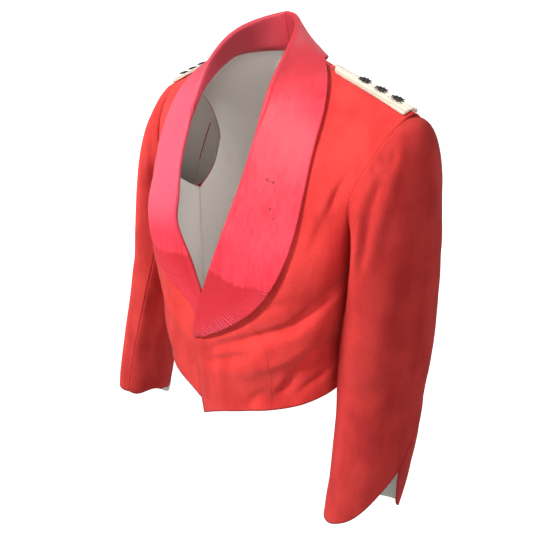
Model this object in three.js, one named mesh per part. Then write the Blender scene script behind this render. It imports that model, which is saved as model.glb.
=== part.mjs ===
// Mess jacket: a short, closed scarlet jacket with a satin shawl collar, filled out as if worn.
// Millimetres. +X is the wearer's left, -Y the front, +Z up.
// The origin is the centre of the neck base, where the wearer's shoulders and neck carry it.
// Every piece is a cloth wall: a grid of points on its middle surface, given a thickness.

import * as THREE from 'three';

// ---- driving sizes ------------------------------------------------------------------------

const WOOL_WALL = 2.0;
const SATIN_WALL = 2.2;
const STRAP_WALL = 2.6;
const SEAM_GAP = 0.3;
const OVERLAP_DEPTH = 10.2;        // how far the right front is pushed in under the left front
const OVERLAP_FROM = -78;          // where that begins, across the body
const OVERLAP_FULL = -24;          // and where it is complete
const OVERLAP_TOP = -150;          // above this height the fronts no longer overlap
const OVERLAP_FADE = 90;           // the height over which the push comes in
const RIGHT_PULL = 15;             // how far the right front's edge is drawn towards its own side
const RIGHT_PULL_RANGE = [-318, -165];
const RIGHT_PULL_FADE = 48;        // the height over which that comes in at either end
const HIDDEN_HEM_RISE = 9;         // how much higher the right front's hem is, where the left one covers it
const HIDDEN_HEM_SHARE = 0.12;     // the share of the panel's width over which it comes down again
const ROLL_RADIUS = 3.2;           // of the fold along the collar's roll line
const ROLL_STAND = 3.4;            // how far the roll stands out beyond the front's edge at least
const ROLL_STAND_SECTIONS = 5;     // the sections from its lower end over which that comes in
const FACING_LEG = 8;              // how far the collar reaches back inside the front's edge

const wool = new THREE.MeshStandardMaterial({ color: 0xd8262a, roughness: 0.9, metalness: 0 });
const satin = new THREE.MeshStandardMaterial({ color: 0xe0344f, roughness: 0.45, metalness: 0 });
const braid = new THREE.MeshStandardMaterial({ color: 0xe6dcc0, roughness: 0.7, metalness: 0 });
const pewter = new THREE.MeshStandardMaterial({ color: 0x3a3532, roughness: 0.5, metalness: 0.6 });

// ---- named points shared by the pieces on both sides of a seam ------------------------------

const SIDE_SEAM = {
  hem: [160, -4, -426],
  lowWaist: [158, -4, -385],
  waist: [156, -3, -345],
  ribs: [161, 0, -290],
  underarm: [166, 6, -212],
};
const SHOULDER = {
  neck: [62, -2, 4],
  tip: [205, 5, -46],
  neckReach: [48, 2, -14],
  tipReach: [-48, -1, 16],
};

// A row runs across the panel from its edge (front edge, roll line or centre back) to its side
// (side seam or armhole). The two reaches are the handles of the row's cubic curve.
const FRONT_ROWS = [
  { edge: [-9, -140, -509], edgeReach: [75, -28, 79], side: SIDE_SEAM.hem, sideReach: [0, -106, -22] },
  { edge: [-6, -146, -436], edgeReach: [74, -13, 22], side: SIDE_SEAM.lowWaist, sideReach: [4, -112, -8] },
  { edge: [-5, -149.5, -360], edgeReach: [76, -5.5, 4], side: SIDE_SEAM.waist, sideReach: [12, -132, 0] },
  { edge: [10, -140, -290], edgeReach: [74, -3.5, 0], side: SIDE_SEAM.ribs, sideReach: [20, -142, 0] },
  { edge: [48, -137.5, -200], edgeReach: [56, 2.5, 0], side: SIDE_SEAM.underarm, sideReach: [20, -130, 3] },
  { edge: [55, -129, -170.5], edgeReach: [46, 3, -2.5], side: [168, -38, -188], sideReach: [4, -66, 4] },
  { edge: [62, -118, -140], edgeReach: [36, 5, -2], side: [172, -62, -148], sideReach: [-22, -34, 2] },
  { edge: [66, -92.5, -80.5], edgeReach: [33, 5.5, -2.5], side: [187, -46, -93], sideReach: [-34, -22, 4] },
  { edge: [59, -52.5, -22], edgeReach: [37, 6.5, -8], side: [199, -14, -56], sideReach: [-50, -12, 12] },
  { edge: SHOULDER.neck, edgeReach: SHOULDER.neckReach, side: SHOULDER.tip, sideReach: SHOULDER.tipReach },
];
const BACK_ROWS = [
  { edge: [0, 98, -446], edgeReach: [80, 6, 6], side: SIDE_SEAM.hem, sideReach: [4, 74, -6] },
  { edge: [0, 92, -395], edgeReach: [80, 5, 2], side: SIDE_SEAM.lowWaist, sideReach: [4, 72, 0] },
  { edge: [0, 88, -350], edgeReach: [80, 5, 0], side: SIDE_SEAM.waist, sideReach: [6, 68, 0] },
  { edge: [0, 94, -290], edgeReach: [84, 6, 0], side: SIDE_SEAM.ribs, sideReach: [10, 72, 0] },
  { edge: [0, 107, -205], edgeReach: [88, 5, 0], side: SIDE_SEAM.underarm, sideReach: [18, 78, 0] },
  { edge: [0, 109, -178], edgeReach: [84, 4, 0], side: [172, 44, -190], sideReach: [6, 46, 0] },
  { edge: [0, 106, -140], edgeReach: [78, 3, 0], side: [180, 72, -146], sideReach: [-34, 26, 0] },
  { edge: [0, 94, -88], edgeReach: [74, 2, -3], side: [190, 62, -92], sideReach: [-46, 24, 2] },
  { edge: [0, 40, 15], edgeReach: [46, 16, -26], side: [199, 38, -62], sideReach: [-56, 18, -2] },
  { edge: [38, 27, 11], edgeReach: [44, 12, -22], side: [203, 22, -52], sideReach: [-52, 10, 8] },
  { edge: SHOULDER.neck, edgeReach: SHOULDER.neckReach, side: SHOULDER.tip, sideReach: SHOULDER.tipReach },
];
const UNDERARM_ROW = 4;
const NAPE_ROW = 8;

// The collar's sections. up: the panel's row where the section springs from (front rows, then
// back rows from the shoulder to the nape). roll: the crest of the fold, or null where it only
// turns over the front's edge. edge: where the free edge lies. lift: how far it stands off.
const COLLAR_SECTIONS = [
  { panel: 'front', up: 2.02, roll: null, edge: [0, -151, -355], lift: 3 },
  { panel: 'front', up: 2.12, roll: null, edge: [17, -151, -347], lift: 4.5 },
  { panel: 'front', up: 2.3, roll: null, edge: [38, -146, -333.5], lift: 6 },
  { panel: 'front', up: 2.55, roll: null, edge: [58, -140, -318], lift: 7 },
  { panel: 'front', up: 2.86, roll: null, edge: [78, -134, -300], lift: 7.5 },
  { panel: 'front', up: 3.12, roll: null, edge: [96, -131, -280], lift: 7.5 },
  { panel: 'front', up: 3.34, roll: null, edge: [110, -127, -260], lift: 7 },
  { panel: 'front', up: 3.67, roll: null, edge: [123, -121, -230], lift: 6.5 },
  { panel: 'front', up: 4, roll: null, edge: [132, -115, -200], lift: 6 },
  { panel: 'front', up: 5, roll: null, edge: [136, -107, -170], lift: 5.5 },
  { panel: 'front', up: 6, roll: null, edge: [136, -98, -140], lift: 5 },
  { panel: 'front', up: 6.5, roll: null, edge: [134.5, -87, -110], lift: 5 },
  { panel: 'front', up: 7, roll: null, edge: [131, -72, -80], lift: 5 },
  { panel: 'front', up: 7.5, roll: [62, -83, -47], edge: [127, -53, -51], lift: 6.5 },
  { panel: 'front', up: 8, roll: [60, -64, -15], edge: [113, -30, -23], lift: 8.5 },
  { panel: 'front', up: 8.5, roll: [60, -41, 11], edge: [98, -14, -8], lift: 8 },
  { panel: 'front', up: 9, roll: [50, -15, 31], edge: [81, 6, -4], lift: 7.5 },
  { panel: 'back', up: 9.5, roll: [38, 3, 40], edge: [66, 24, -6], lift: 7 },
  { panel: 'back', up: 9, roll: [26, 15, 46], edge: [51, 43, -9], lift: 7 },
  { panel: 'back', up: 8.5, roll: [14, 25, 50], edge: [27, 56, -11], lift: 7 },
  { panel: 'back', up: 8, roll: [0, 28, 52], edge: [0, 58, -11], lift: 7 },
];
// Where the right half, drawn in under the left one, differs from it. Given unmirrored.
const RIGHT_COLLAR = [
  { section: 0, up: 2.34, edge: [4, -147, -333] },
  { section: 1, up: 2.42, edge: [16, -147, -326] },
  { section: 2, up: 2.52, edge: [27, -143, -317] },
  { section: 3, up: 2.68, edge: [44, -141, -304] },
  { section: 4, up: 2.92, edge: [60, -139, -288] },
  { section: 5, up: 3.14, edge: [75, -137, -271] },
  { section: 6, up: 3.36, edge: [89, -134, -251] },
  { section: 7, up: 3.67, edge: [105, -129, -225] },
  { section: 8, up: 4, edge: [119, -121, -198] },
  { section: 9, up: 5, edge: [128, -111, -169] },
  { section: 10, up: 6, edge: [131, -101, -140] },
  { section: 11, up: 6.5, edge: [131, -89, -111] },
  { section: 12, up: 7, edge: [129, -74, -81] },
];

// Sleeve rings. inner, outer, front and back are half-widths. The seam angles run from the
// outside of the arm (0) by the front (90) to the inside (180).
const LEFT_SLEEVE_RINGS = [
  { centre: [212, -18, -250], inner: 42.5, outer: 54, front: 60, back: 60, hind: -58, fore: 130 },
  { centre: [216, -20, -320], inner: 50, outer: 54, front: 60, back: 58, hind: -44, fore: 140 },
  { centre: [218, -20, -390], inner: 53, outer: 53, front: 59, back: 57, hind: -24, fore: 156 },
  { centre: [222, -27, -470], inner: 51, outer: 55, front: 58, back: 56, hind: 12, fore: 182 },
  { centre: [224, -38, -560], inner: 47, outer: 56, front: 57, back: 54, hind: 25, fore: 206 },
  { centre: [222, -46, -628], inner: 45, outer: 54, front: 56, back: 53, hind: 28, fore: 210 },
];
const RIGHT_SLEEVE_RINGS = [
  { centre: [212, -14, -250], inner: 43, outer: 54, front: 60, back: 61, hind: -68, fore: 122 },
  { centre: [219, -26, -320], inner: 51, outer: 54, front: 58, back: 59, hind: -72, fore: 118 },
  { centre: [228, -43, -390], inner: 52, outer: 52, front: 56, back: 57, hind: -76, fore: 114 },
  { centre: [236, -62, -465], inner: 50, outer: 50, front: 54, back: 55, hind: -80, fore: 112 },
  { centre: [243, -82, -545], inner: 47, outer: 47, front: 53, back: 54, hind: -84, fore: 110 },
  { centre: [247, -95, -612], inner: 45, outer: 45, front: 53, back: 54, hind: -86, fore: 110 },
];
const ARMHOLE_HIND = -74;
const ARMHOLE_FORE = 122;
// How far the cuff's hem stands above the sleeve's lowest ring. The share runs from the hind seam
// to the front seam on a top sleeve, and from the front seam to the hind seam on an under sleeve.
const LEFT_TOP_HEM = [
  { share: 0, rise: 134 }, { share: 0.1, rise: 106 }, { share: 0.18, rise: 70 }, { share: 0.28, rise: 42 },
  { share: 0.38, rise: 25 }, { share: 0.5, rise: 11 }, { share: 0.62, rise: 5 }, { share: 0.8, rise: 6 },
  { share: 1, rise: 12 },
];
const LEFT_UNDER_HEM = [
  { share: 0, rise: 12 }, { share: 0.15, rise: 3 }, { share: 0.3, rise: -4 }, { share: 0.5, rise: 16 },
  { share: 0.7, rise: 44 }, { share: 0.8, rise: 54 }, { share: 0.88, rise: 66 }, { share: 0.94, rise: 82 },
  { share: 0.98, rise: 108 }, { share: 1, rise: 134 },
];

const RIGHT_TOP_HEM = [
  { share: 0, rise: 134 }, { share: 0.1, rise: 104 }, { share: 0.2, rise: 66 }, { share: 0.32, rise: 36 },
  { share: 0.44, rise: 19 }, { share: 0.6, rise: 12 }, { share: 0.8, rise: 13 }, { share: 1, rise: 17 },
];
const RIGHT_UNDER_HEM = [
  { share: 0, rise: 17 }, { share: 0.12, rise: 12 }, { share: 0.24, rise: 18 }, { share: 0.34, rise: 18 },
  { share: 0.44, rise: 8 }, { share: 0.56, rise: -11 }, { share: 0.66, rise: -19 }, { share: 0.78, rise: -6 },
  { share: 0.88, rise: 28 }, { share: 0.95, rise: 74 }, { share: 1, rise: 134 },
];
const SLEEVES = {
  left: { rings: LEFT_SLEEVE_RINGS, topHem: LEFT_TOP_HEM, underHem: LEFT_UNDER_HEM },
  right: { rings: RIGHT_SLEEVE_RINGS, topHem: RIGHT_TOP_HEM, underHem: RIGHT_UNDER_HEM },
};

// Soft creases in the cloth, each along a line on the garment: depth below 0 is a trough, above
// 0 a ridge, and width is how far it spreads to either side. The right side is given mirrored.
const CREASES = {
  front_left: [
    { from: [16, -150, -384], to: [98, -135, -320], depth: -4, width: 11 },
    { from: [98, -135, -320], to: [158, -83, -266], depth: -6, width: 15 },
    { from: [92, -132, -352], to: [148, -92, -306], depth: 4.5, width: 14 },
    { from: [112, -116, -424], to: [157, -42, -352], depth: -5.5, width: 13 },
    { from: [171, -63, -112], to: [163, -76, -158], depth: -3, width: 8 },
    { from: [84, -133, -440], to: [96, -130, -420], depth: -2.5, width: 14 },
  ],
  front_right: [
    { from: [60, -142, -384], to: [138, -112, -318], depth: -4, width: 13 },
    { from: [84, -136, -410], to: [150, -80, -350], depth: 4, width: 16 },
    { from: [30, -143, -350], to: [104, -130, -300], depth: -3, width: 12 },
    { from: [171, -62, -116], to: [160, -84, -176], depth: -3.5, width: 9 },
  ],
  back_left: [
    { from: [18, 92, -338], to: [120, 70, -312], depth: -3.5, width: 13 },
    { from: [70, 92, -286], to: [156, 30, -262], depth: -4, width: 14 },
    { from: [172, 66, -132], to: [150, 86, -206], depth: -4, width: 10 },
    { from: [60, 92, -380], to: [150, 40, -362], depth: 3, width: 14 },
  ],
  back_right: [
    { from: [10, 92, -348], to: [128, 64, -330], depth: -4, width: 12 },
    { from: [84, 92, -296], to: [158, 26, -276], depth: -3.5, width: 15 },
    { from: [174, 66, -136], to: [156, 82, -196], depth: -3.5, width: 11 },
  ],
  sleeve_left: [
    { from: [190, -60, -118], to: [192, -76, -176], depth: -4.5, width: 8 },
    { from: [202, -62, -116], to: [206, -80, -196], depth: 3, width: 9 },
    { from: [215, -48, -88], to: [216, -70, -140], depth: -3.5, width: 9 },
    { from: [226, 40, -330], to: [262, 12, -392], depth: -3.5, width: 14 },
    { from: [196, 34, -366], to: [240, 34, -420], depth: -3, width: 13 },
  ],
  sleeve_right: [
    { from: [190, -60, -122], to: [188, -72, -200], depth: -4.5, width: 9 },
    { from: [204, -62, -112], to: [208, -82, -190], depth: -3, width: 9 },
    { from: [176, -62, -330], to: [184, -98, -470], depth: -4, width: 15 },
    { from: [232, 26, -340], to: [272, -4, -400], depth: -3.5, width: 14 },
  ],
};

// ---- small helpers --------------------------------------------------------------------------

const vec = (p) => new THREE.Vector3(p[0], p[1], p[2]);
const mixNumber = (a, b, t) => a + (b - a) * t;
const clamp01 = (t) => Math.min(1, Math.max(0, t));
const smooth = (t) => clamp01(t) * clamp01(t) * (3 - 2 * clamp01(t));
const radians = (degrees) => degrees * Math.PI / 180;

// A smooth curve through points at rising knots, broken at the knots named as corners.
function splineThrough(points, knots, corners = [], endSlopeFactor = null) {
  const last = points.length - 1;
  const slopeOn = (i) => points[i + 1].clone().sub(points[i]).divideScalar(knots[i + 1] - knots[i]);
  const slopeAt = (i, side) => {
    const broken = corners.includes(i);
    if (i === last && endSlopeFactor) return slopeOn(i - 1).multiply(endSlopeFactor);
    if (i === 0 || (broken && side > 0)) return slopeOn(i);
    if (i === last || (broken && side < 0)) return slopeOn(i - 1);
    const before = knots[i] - knots[i - 1];
    const after = knots[i + 1] - knots[i];
    return slopeOn(i).multiplyScalar(before).add(slopeOn(i - 1).multiplyScalar(after))
      .divideScalar(before + after);
  };
  return (at) => {
    let i = 0;
    while (i < last - 1 && at > knots[i + 1]) i += 1;
    const span = knots[i + 1] - knots[i];
    const t = (at - knots[i]) / span;
    const t2 = t * t;
    const t3 = t2 * t;
    return points[i].clone().multiplyScalar(2 * t3 - 3 * t2 + 1)
      .addScaledVector(slopeAt(i, 1), (t3 - 2 * t2 + t) * span)
      .addScaledVector(points[i + 1], 3 * t2 - 2 * t3)
      .addScaledVector(slopeAt(i + 1, -1), (t3 - t2) * span);
  };
}

function tableValue(rows, inColumn, outColumn, at) {
  const points = rows.map((row) => new THREE.Vector3(row[outColumn], 0, 0));
  return splineThrough(points, rows.map((row) => row[inColumn]))(at).x;
}

// ---- the body panels' surfaces ----------------------------------------------------------------

function makePanel(rows, edgeCorners) {
  const spacing = rows.map(() => 0);
  for (let i = 1; i < rows.length; i += 1) {
    const edgeStep = vec(rows[i].edge).distanceTo(vec(rows[i - 1].edge));
    const sideStep = vec(rows[i].side).distanceTo(vec(rows[i - 1].side));
    spacing[i] = spacing[i - 1] + (edgeStep + sideStep) / 2;
  }
  const column = (name, corners) => splineThrough(rows.map((row) => vec(row[name])), spacing, corners);
  const edge = column('edge', edgeCorners);
  const level = new THREE.Vector3(1, 1.15, 0.3);
  const side = splineThrough(rows.map((row) => vec(row.side)), spacing, [UNDERARM_ROW], level);
  const edgeReach = column('edgeReach', [...edgeCorners, UNDERARM_ROW]);
  const sideReach = column('sideReach', [UNDERARM_ROW]);
  // up counts rows: 0 is the hem, and the last row is the shoulder seam.
  const knotAt = (up) => {
    const i = Math.min(rows.length - 2, Math.floor(up));
    return mixNumber(spacing[i], spacing[i + 1], up - i);
  };
  const pointAt = (across, up) => {
    const knot = knotAt(up);
    const a = edge(knot);
    const d = side(knot);
    const b = edgeReach(knot).add(a);
    const c = sideReach(knot).add(d);
    const s = 1 - across;
    return a.multiplyScalar(s * s * s).addScaledVector(b, 3 * s * s * across)
      .addScaledVector(c, 3 * s * across * across).addScaledVector(d, across * across * across);
  };
  return { rows, lastRow: rows.length - 1, pointAt };
}

const panels = { front: makePanel(FRONT_ROWS, []), back: makePanel(BACK_ROWS, [NAPE_ROW]) };

function panelNormal(name, across, up) {
  const panel = panels[name];
  const step = 0.01;
  const a0 = Math.max(0, across - step);
  const a1 = Math.min(1, across + step);
  const u0 = Math.max(0, up - step);
  const u1 = Math.min(panel.lastRow, up + step);
  const alongRow = panel.pointAt(a1, up).sub(panel.pointAt(a0, up));
  const upward = panel.pointAt(across, u1).sub(panel.pointAt(across, u0));
  const normal = alongRow.cross(upward).normalize();
  return name === 'front' ? normal : normal.negate();
}

function nearestOnPanel(name, target) {
  const panel = panels[name];
  let best = { across: 0, up: 0, distance: Infinity };
  let reachAcross = 1;
  let reachUp = panel.lastRow;
  let centre = { across: 0.5, up: panel.lastRow / 2 };
  for (let pass = 0; pass < 6; pass += 1) {
    for (let i = -6; i <= 6; i += 1) {
      for (let j = -6; j <= 6; j += 1) {
        const across = clamp01(centre.across + reachAcross * i / 6);
        const up = Math.min(panel.lastRow, Math.max(0, centre.up + reachUp * j / 6));
        const distance = panel.pointAt(across, up).distanceTo(target);
        if (distance < best.distance) best = { across, up, distance };
      }
    }
    centre = { across: best.across, up: best.up };
    reachAcross /= 4;
    reachUp /= 4;
  }
  return best;
}

// The right front lies under the left one, so its points near the middle are pushed inwards.
const overlapShare = (point) => smooth((-point.x - OVERLAP_FROM) / (OVERLAP_FULL - OVERLAP_FROM))
  * smooth((OVERLAP_TOP - point.z) / OVERLAP_FADE);

// Its edge is also drawn towards its own side below the breast.
const pullShare = (point) => smooth((RIGHT_PULL_RANGE[1] - point.z) / RIGHT_PULL_FADE)
  * smooth((point.z - RIGHT_PULL_RANGE[0]) / RIGHT_PULL_FADE);

const reach = new THREE.Line3();
const foot = new THREE.Vector3();

function creaseHeight(creases, point) {
  let height = 0;
  for (const crease of creases) {
    reach.set(vec(crease.from), vec(crease.to));
    reach.closestPointToPoint(point, true, foot);
    height += crease.depth * Math.exp(-foot.distanceToSquared(point) / crease.width ** 2);
  }
  return height;
}

// The normal on a seam is halfway between both panels', so that their edges meet face to face.
function seamNormal(name, across, up) {
  const normal = panelNormal(name, across, up);
  const other = name === 'front' ? 'back' : 'front';
  const shoulderShare = smooth((up - panels[name].lastRow + 0.6) / 0.6) / 2;
  const sideShare = up <= UNDERARM_ROW ? smooth((across - 0.94) / 0.06) / 2 : 0;
  if (shoulderShare > 0) {
    return normal.lerp(panelNormal(other, across, panels[other].lastRow), shoulderShare).normalize();
  }
  if (sideShare > 0) return normal.lerp(panelNormal(other, 1, up), sideShare).normalize();
  return normal;
}

// A point of one side's panel, in the left side's frame, with its creases and its overlap.
function surfaceAt(name, side, across, up) {
  const point = panels[name].pointAt(across, up);
  const normal = seamNormal(name, across, up);
  const height = creaseHeight(CREASES[`${name}_${side}`], point);
  const onRightFront = name === 'front' && side === 'right';
  const inset = onRightFront ? OVERLAP_DEPTH * overlapShare(point) : 0;
  if (onRightFront) {
    point.x += RIGHT_PULL * pullShare(point) * (1 - across) ** 3;
    point.z += HIDDEN_HEM_RISE * smooth(1 - across / HIDDEN_HEM_SHARE) * smooth(1 - up);
  }
  point.addScaledVector(normal, height - inset);
  return { point, normal };
}

// ---- turning a grid of points into a cloth wall -------------------------------------------------

function gridNormal(grid, i, j) {
  const lastI = grid.length - 1;
  const lastJ = grid[0].length - 1;
  const alongI = grid[Math.min(lastI, i + 1)][j].clone().sub(grid[Math.max(0, i - 1)][j]);
  const alongJ = grid[i][Math.min(lastJ, j + 1)].clone().sub(grid[i][Math.max(0, j - 1)]);
  return alongI.cross(alongJ).normalize();
}

// normals replaces the grid's own; heights raises the outer face above its plain thickness.
function clothWall(grid, thickness, { normals = null, heights = null } = {}) {
  const rows = grid.length;
  const columns = grid[0].length;
  const positions = [];
  for (const face of [1, -1]) {
    for (let i = 0; i < rows; i += 1) {
      for (let j = 0; j < columns; j += 1) {
        const raised = face > 0 && heights ? heights[i][j] : 0;
        const normal = normals ? normals[i][j] : gridNormal(grid, i, j);
        const point = grid[i][j].clone().addScaledVector(normal, face * thickness / 2 + raised);
        positions.push(point.x, point.y, point.z);
      }
    }
  }
  const outer = (i, j) => i * columns + j;
  const inner = (i, j) => rows * columns + i * columns + j;
  const triangles = [];
  const quad = (a, b, c, d) => triangles.push(a, b, c, a, c, d);
  for (let i = 0; i < rows - 1; i += 1) {
    for (let j = 0; j < columns - 1; j += 1) {
      quad(outer(i, j), outer(i + 1, j), outer(i + 1, j + 1), outer(i, j + 1));
      quad(inner(i, j), inner(i, j + 1), inner(i + 1, j + 1), inner(i + 1, j));
    }
  }
  for (let i = 0; i < rows - 1; i += 1) {
    quad(outer(i, 0), inner(i, 0), inner(i + 1, 0), outer(i + 1, 0));
    const last = columns - 1;
    quad(outer(i, last), outer(i + 1, last), inner(i + 1, last), inner(i, last));
  }
  for (let j = 0; j < columns - 1; j += 1) {
    quad(outer(0, j), outer(0, j + 1), inner(0, j + 1), inner(0, j));
    quad(outer(rows - 1, j), inner(rows - 1, j), inner(rows - 1, j + 1), outer(rows - 1, j + 1));
  }
  const geometry = new THREE.BufferGeometry();
  geometry.setAttribute('position', new THREE.Float32BufferAttribute(positions, 3));
  geometry.setIndex(triangles);
  geometry.computeVertexNormals();
  return geometry;
}

// The wearer's right side is the left side mirrored. Reversing the rows keeps faces outward.
const mirrorGrid = (grid) =>
  grid.map((row) => row.map((point) => new THREE.Vector3(-point.x, point.y, point.z))).reverse();

function addPiece(group, name, geometry, material) {
  const mesh = new THREE.Mesh(geometry, material);
  mesh.name = name;
  group.add(mesh);
}

// ---- body panels ------------------------------------------------------------------------------

const ACROSS_STEPS = 16;
const UP_STEPS_PER_ROW = { front: [3, 3, 3, 3, 1, 1, 2, 2, 2], back: [2, 2, 2, 3, 1, 1, 2, 2, 2, 2] };

function panelStations(name) {
  const stations = [0];
  UP_STEPS_PER_ROW[name].forEach((steps, row) => {
    for (let k = 1; k <= steps; k += 1) stations.push(row + k / steps);
  });
  return stations;
}

// Draws half a seam gap off the panel's two long edges and its shoulder edge.
function trimmed(grid, gap) {
  const pull = (point, towards) => point.addScaledVector(towards.clone().sub(point).normalize(), gap);
  const last = grid.length - 1;
  const top = grid[0].length - 1;
  grid[0].forEach((point, j) => pull(point, grid[1][j]));
  grid[last].forEach((point, j) => pull(point, grid[last - 1][j]));
  grid.forEach((row) => pull(row[top], row[top - 1]));
  return grid;
}

function addBodyPanels(group) {
  for (const side of ['left', 'right']) {
    for (const name of ['front', 'back']) {
      const acrossSteps = Array.from({ length: ACROSS_STEPS + 1 }, (_, i) => i / ACROSS_STEPS);
      const surface = acrossSteps.map((across) =>
        panelStations(name).map((up) => surfaceAt(name, side, across, up)));
      const points = surface.map((row) => row.map((entry) => entry.point));
      let grid = trimmed(points, SEAM_GAP / 2 + 0.05);
      let normals = surface.map((row) => row.map((entry) => entry.normal));
      if (name === 'back') {
        grid = grid.reverse();
        normals = normals.reverse();
      }
      if (side === 'right') {
        grid = mirrorGrid(grid);
        normals = mirrorGrid(normals);
      }
      addPiece(group, `${name}_${side}`, clothWall(grid, WOOL_WALL, { normals }), wool);
    }
  }
}

// ---- shawl collar -----------------------------------------------------------------------------

const COLLAR_STEPS_BETWEEN = 1;
const FALL_SHARES = [0.06, 0.16, 0.3, 0.46, 0.64, 0.82, 1];
const CROWN_ANGLES = [0, 50, 90, 130, 180];

const collarRows = {
  left: COLLAR_SECTIONS,
  right: COLLAR_SECTIONS.map((row, k) => {
    const changed = RIGHT_COLLAR.find((other) => other.section === k);
    return { ...row, ...changed };
  }),
};

function collarStation(at, side) {
  const rows = collarRows[side];
  const knots = rows.map((row, k) => k);
  const edge = splineThrough(rows.map((row) => vec(row.edge)), knots)(at);
  const lift = tableValue(rows.map((row, k) => ({ k, lift: row.lift })), 'k', 'lift', at);
  const k = Math.min(rows.length - 2, Math.floor(at));
  const before = rows[k];
  const after = rows[k + 1];
  const share = at - k;
  const panel = share > 0 && after.panel === 'back' ? 'back' : before.panel;
  const startUp = before.panel === panel ? before.up : panels[panel].lastRow;
  const up = mixNumber(startUp, after.up, share);
  const rollPoint = (row, section) => {
    if (row.roll) return vec(row.roll);
    const rollStand = ROLL_STAND * smooth(section / ROLL_STAND_SECTIONS);
    const seam = surfaceAt('front', side, 0, row.up).point;
    const away = seam.clone().sub(surfaceAt('front', side, 0.06, row.up).point).normalize();
    return seam.addScaledVector(away, ROLL_RADIUS + rollStand);
  };
  const roll = splineThrough(rows.map(rollPoint), knots)(at);
  return { panel, up, edge, lift, roll };
}

// One section of the collar, from the leg behind the front's edge, over the roll, to its edge.
function collarSection(station, side) {
  const { panel, up, edge, lift, roll } = station;
  const seam = surfaceAt(panel, side, 0, up);
  const onPanel = (share) => {
    const near = nearestOnPanel(panel, panels[panel].pointAt(0, up).lerp(edge, share));
    return surfaceAt(panel, side, near.across, near.up);
  };
  const width = seam.point.distanceTo(edge);
  const stand = roll.clone().sub(seam.point);
  const standUp = stand.clone().normalize();
  const along = onPanel(0.1).point.sub(seam.point).normalize();
  const outward = seam.normal.clone().add(along);
  outward.addScaledVector(standUp, -outward.dot(standUp)).normalize();
  const crownCentre = seam.point.clone().addScaledVector(standUp, stand.length() - ROLL_RADIUS);
  const leg = onPanel(Math.min(0.9, FACING_LEG / Math.max(width, FACING_LEG)));
  const points = [leg.point.addScaledVector(leg.normal, -ROLL_RADIUS)];
  points.push(seam.point.clone().addScaledVector(seam.normal, -ROLL_RADIUS));
  const bendHeight = Math.min(ROLL_STAND, stand.length() - ROLL_RADIUS) / 2;
  const behind = seam.point.clone().addScaledVector(outward, -ROLL_RADIUS);
  points.push(behind.addScaledVector(standUp, bendHeight));
  for (const angle of CROWN_ANGLES) {
    const turn = radians(angle);
    points.push(crownCentre.clone().addScaledVector(outward, -ROLL_RADIUS * Math.cos(turn))
      .addScaledVector(standUp, ROLL_RADIUS * Math.sin(turn)));
  }
  const fallStart = points[points.length - 1].clone();
  const rise = fallStart.sub(seam.point).addScaledVector(seam.normal, -ROLL_RADIUS);
  const fadeShare = Math.min(1, Math.max(0.12, (stand.length() * 2.2) / width));
  for (const share of FALL_SHARES) {
    const base = onPanel(share);
    const covered = side === 'right' && panel === 'front' ? overlapShare(base.point) : 0;
    const free = smooth(share * 1.6) * (1 - covered);
    const standOff = mixNumber(ROLL_RADIUS, Math.max(lift, ROLL_RADIUS), free);
    const fade = (1 - clamp01(share / fadeShare)) ** 2.5;
    points.push(base.point.addScaledVector(base.normal, standOff).addScaledVector(rise, fade));
  }
  return points;
}

function addCollar(group) {
  for (const side of ['left', 'right']) {
    const sections = [];
    const stations = (COLLAR_SECTIONS.length - 1) * COLLAR_STEPS_BETWEEN;
    for (let k = 0; k <= stations; k += 1) {
      sections.push(collarSection(collarStation(k / COLLAR_STEPS_BETWEEN, side), side));
    }
    const grid = sections.reverse();
    const normals = grid.map((row, i) => row.map((_, j) => gridNormal(grid, i, j)));
    for (let j = 0; j < grid[0].length; j += 1) {
      grid[0][j].x = SEAM_GAP / 2;
      normals[0][j].setX(0).normalize();
    }
    const faced = side === 'right' ? [mirrorGrid(grid), mirrorGrid(normals)] : [grid, normals];
    addPiece(group, `collar_${side}`, clothWall(faced[0], SATIN_WALL, { normals: faced[1] }), satin);
  }
}

// ---- sleeves ----------------------------------------------------------------------------------

const ARMHOLE_SAMPLES = 60;

// The armhole's outline, from the shoulder tip by the front to the underarm and up the back.
function armholeOutline() {
  const points = [];
  const front = panels.front;
  const back = panels.back;
  for (let k = 0; k <= ARMHOLE_SAMPLES; k += 1) {
    points.push(front.pointAt(1, mixNumber(front.lastRow, UNDERARM_ROW, k / ARMHOLE_SAMPLES)));
  }
  for (let k = 1; k <= ARMHOLE_SAMPLES; k += 1) {
    points.push(back.pointAt(1, mixNumber(UNDERARM_ROW, back.lastRow, k / ARMHOLE_SAMPLES)));
  }
  return points;
}

const armholePoints = armholeOutline();
const armholeLengths = armholePoints.map(() => 0);
for (let k = 1; k < armholePoints.length; k += 1) {
  armholeLengths[k] = armholeLengths[k - 1] + armholePoints[k].distanceTo(armholePoints[k - 1]);
}

// angle 0 is the shoulder tip, 180 the underarm.
function armholeAt(angle) {
  const turn = ((angle % 360) + 360) % 360;
  const half = armholeLengths[ARMHOLE_SAMPLES];
  const whole = armholeLengths[armholeLengths.length - 1];
  const length = turn <= 180 ? half * turn / 180 : mixNumber(half, whole, (turn - 180) / 180);
  let k = 1;
  while (k < armholeLengths.length - 1 && armholeLengths[k] < length) k += 1;
  const t = (length - armholeLengths[k - 1]) / (armholeLengths[k] - armholeLengths[k - 1]);
  return armholePoints[k - 1].clone().lerp(armholePoints[k], t);
}

function ringPoint(ring, angle) {
  const turn = radians(angle);
  const x = Math.cos(turn) * (Math.cos(turn) > 0 ? ring.outer : ring.inner);
  const y = -Math.sin(turn) * (Math.sin(turn) > 0 ? ring.front : ring.back);
  return vec(ring.centre).add(new THREE.Vector3(x, y, 0));
}

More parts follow.
